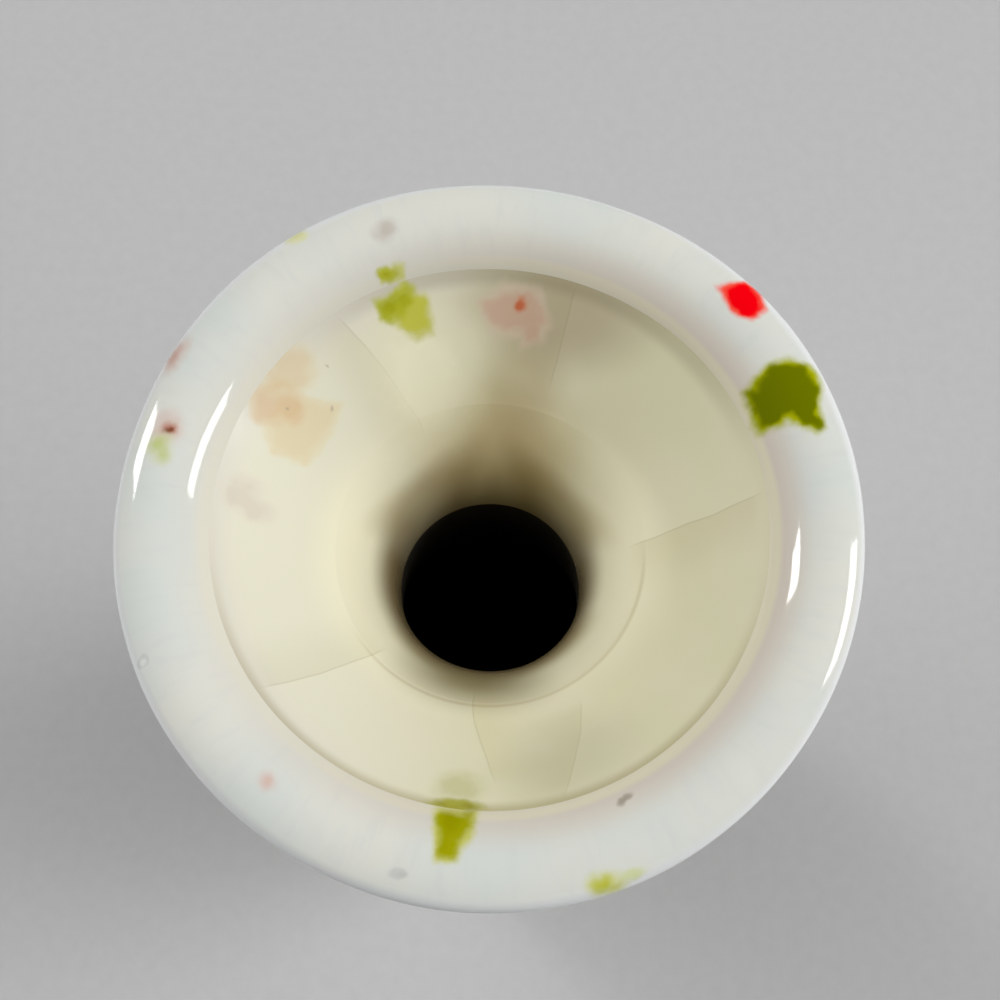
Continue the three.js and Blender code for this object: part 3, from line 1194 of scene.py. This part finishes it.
def inner_glaze():
    """Cream glaze of the funnel, with its painted light and shade, its cracks with their stains, and
    dabs
    """
    paint = Paint("inner_glaze")
    azimuth, radius = paint.polar()
    across = paint.node("SeparateXYZ", {0: paint.place}).outputs[0]
    tint = paint.span(paint.noise(CREAM_TINT_LENGTH, 2, seed=5), *CREAM_TINT_SPAN)
    colour = paint.mix(tint, CREAM_GLAZE, GREEN_CREAM_GLAZE)
    pale = paint.span(across, PALE_START, PALE_FULL)
    colour = paint.mix(pale, colour, PALE_CREAM_GLAZE)
    facing_far = paint.math("SINE", azimuth)
    # Painted light: lighter past the ring, weakest on the far side
    painted_ring_light = paint.span(radius, RING_RADIUS + RING_LIGHT_OUTSIDE, RING_RADIUS - RING_LIGHT_INSIDE)
    near_share = paint.span(facing_far, FAR_SIDE, NEAR_SIDE, RING_LIGHT_LEAST, 1)
    colour = paint.mix(paint.times(painted_ring_light, near_share), colour, RING_PAINTED_LIGHT)
    # Painted shade round places in the funnel and throat
    for stain_and_shade in PAINTED_SHADES:
        colour = paint.stain_and_shade(colour, stain_and_shade)
    # Painted shade: darker towards the throat, weakest on the far side
    lean = paint.facing(azimuth, DEEP_LEAN)
    leant_radius = paint.math("MULTIPLY_ADD", lean, -DEEP_LEAN_SIZE, radius)
    painted_throat_shade = paint.span(leant_radius, DEEP_RADIUS, THROAT_RADIUS)
    near_share = paint.span(facing_far, FAR_SIDE, NEAR_SIDE, DEEP_LEAST, 1)
    colour = paint.mix(paint.times(painted_throat_shade, near_share), colour, THROAT_SHADE)
    left_fringe = fringe(paint, azimuth, radius, -FRINGE_INSIDE)
    colour = paint.mix(left_fringe, colour, FRINGE_GLAZE)
    colour = crease_shade(paint, azimuth, radius, colour)
    for crack in CRACKS:
        colour = paint.crack(azimuth, radius, colour, crack)
    line = paint.times(ring_line(paint, azimuth, radius), RING_LINE_STRENGTH)
    colour = paint.multiply(line, colour, RING_SHADE)
    colour = paint.dabs(colour, FUNNEL_DABS)
    return paint.finish(colour, INNER_ROUGHNESS, glaze_bump(paint))


def painted_shade_inside():
    """Painted shade: the inside below the throat, dark and matt"""
    paint = Paint("painted_shade_inside")
    stain_and_shade = paint.noise(INSIDE_TINT_LENGTH, 4)
    colour = paint.mix(stain_and_shade, INSIDE_SHADE, DARKER_INSIDE_SHADE)
    return paint.finish(colour, INSIDE_ROUGHNESS)


def bare_clay():
    """Matt clay where the glaze was wiped off"""
    paint = Paint("bare_clay")
    grain = paint.noise(CLAY_GRAIN, 4)
    colour = paint.mix(grain, CLAY, DARK_CLAY)
    bump = paint.node("Bump", {"Height": grain, "Distance": CLAY_BUMP}).outputs[0]
    return paint.finish(colour, CLAY_ROUGHNESS, bump)


def floor_finish():
    """Plain pale floor"""
    paint = Paint("studio_floor")
    grain = paint.noise(FLOOR_TINT_LENGTH, 3)
    colour = paint.mix(grain, FLOOR_GREY, DARK_FLOOR_GREY)
    return paint.finish(colour, FLOOR_ROUGHNESS)


FINISHES = {
    "outside": outer_glaze(),
    "funnel": inner_glaze(),
    "inside": painted_shade_inside(),
    "clay": bare_clay(),
}

# The six sections: the model's node, the material's slot and the outline
SECTIONS = (
    ("foot_ring", "foot_clay", foot_ring_outline()),
    ("lower_body", "outer_glaze", lower_body_outline()),
    ("shoulder", "outer_glaze", wall_outline(BELLY_HEIGHT, NECK_BASE, SHOULDER_STEPS)),
    ("neck", "outer_glaze", wall_outline(NECK_BASE, THROAT_HEIGHT, NECK_STEPS)),
    ("mouth_funnel", "inner_glaze", mouth_funnel_outline()),
    ("rolled_lip", "outer_glaze", rolled_lip_outline()),
)


def make_section(node, slot, outline):
    """The finished section that stands for one of the model's"""
    used = [name for name in FINISHES if name in {finish for finish, _ in outline}]
    piece = turned(node + "_fired", outline, used)
    for name in used:
        piece.data.materials.append(FINISHES[name])
    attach(piece, "root")
    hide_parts(node)


def make_floor():
    """Wide, level floor just under the vase"""
    half = FLOOR_SIZE / 2
    corners = [(-half, -half), (half, -half), (half, half), (-half, half)]
    mesh = bpy.data.meshes.new("studio_floor")
    mesh.from_pydata([(x, y, -FLOOR_DROP) for x, y in corners], [], [(0, 1, 2, 3)])
    mesh.materials.append(floor_finish())
    floor = placed("studio_floor", mesh)


def make_camera():
    """Camera at the photograph's viewing angle"""
    data = bpy.data.cameras.new("camera")
    data.lens = LENS
    data.sensor_width = SENSOR
    data.clip_start = CLIP_START
    data.clip_end = CLIP_END
    camera = placed("camera", data)
    turn = Matrix.Rotation(CAMERA_TILT, 4, "X") @ Matrix.Rotation(CAMERA_TURN, 4, "Y")
    camera.matrix_world = Matrix.Translation(CAMERA_PLACE) @ turn
    bpy.context.scene.camera = camera


# Softboxes: azimuth and elevation in degrees, width, height, distance and power
SOFTBOXES = (
    ("right_softbox", 4, 41.5, 0.15, 0.1, 0.5, 0.5),
    ("left_softbox", 148, 44, 0.065, 0.1, 0.5, 0.35),
)

# Brighter parts of the studio: azimuth and elevation in degrees, narrowness and strength
BRIGHT_PARTS = (
    (0, 27, 14, 5.2),
    (145, 27, 14, 0.75),
    (150, 58, 20, 2.3),
    (180, 27, 14, 2.1),
    (325, 27, 14, 0.8),
)
SKY_STRENGTH = 0.01


def outwards(azimuth, elevation):
    """Direction at an azimuth and elevation in degrees"""
    turn = math.radians(azimuth)
    rise = math.radians(elevation)
    return Vector((math.cos(turn) * math.cos(rise), math.sin(turn) * math.cos(rise), math.sin(rise)))


def make_softbox(name, azimuth, elevation, width, height, distance, power):
    """A soft light that faces the mouth"""
    data = bpy.data.lights.new(name, "AREA")
    data.shape = "RECTANGLE"
    data.size = width
    data.size_y = height
    data.energy = power
    out = outwards(azimuth, elevation)
    light = placed(name, data)
    light.location = Vector((0, 0, HEIGHT)) + out * distance
    light.rotation_mode = "QUATERNION"
    light.rotation_quaternion = out.to_track_quat("Z", "Y")


def make_sky():
    """Soft light from all round, stronger from the bright parts and not mirrored in the glaze"""
    world = bpy.data.worlds.new("studio")
    world.use_nodes = True
    sky = Nodes(world.node_tree)
    direction = sky.node("TexCoord").outputs["Generated"]
    strength = SKY_STRENGTH
    for azimuth, elevation, narrowness, part_strength in BRIGHT_PARTS:
        facing = sky.vector("DOT_PRODUCT", direction, outwards(azimuth, elevation))
        facing = sky.math("MAXIMUM", facing, 0)
        glow = sky.math("POWER", facing, narrowness)
        strength = sky.math("MULTIPLY_ADD", glow, part_strength, strength)
    background = sky.tree.nodes["Background"]
    background.inputs["Color"].default_value = (1, 1, 1, 1)
    sky.tree.links.new(strength, background.inputs["Strength"])
    world.cycles_visibility.glossy = False
    bpy.context.scene.world = world


for section in SECTIONS:
    make_section(*section)
make_floor()
make_camera()
make_sky()
for softbox in SOFTBOXES:
    make_softbox(*softbox)
bpy.context.scene.view_settings.view_transform = "Standard"
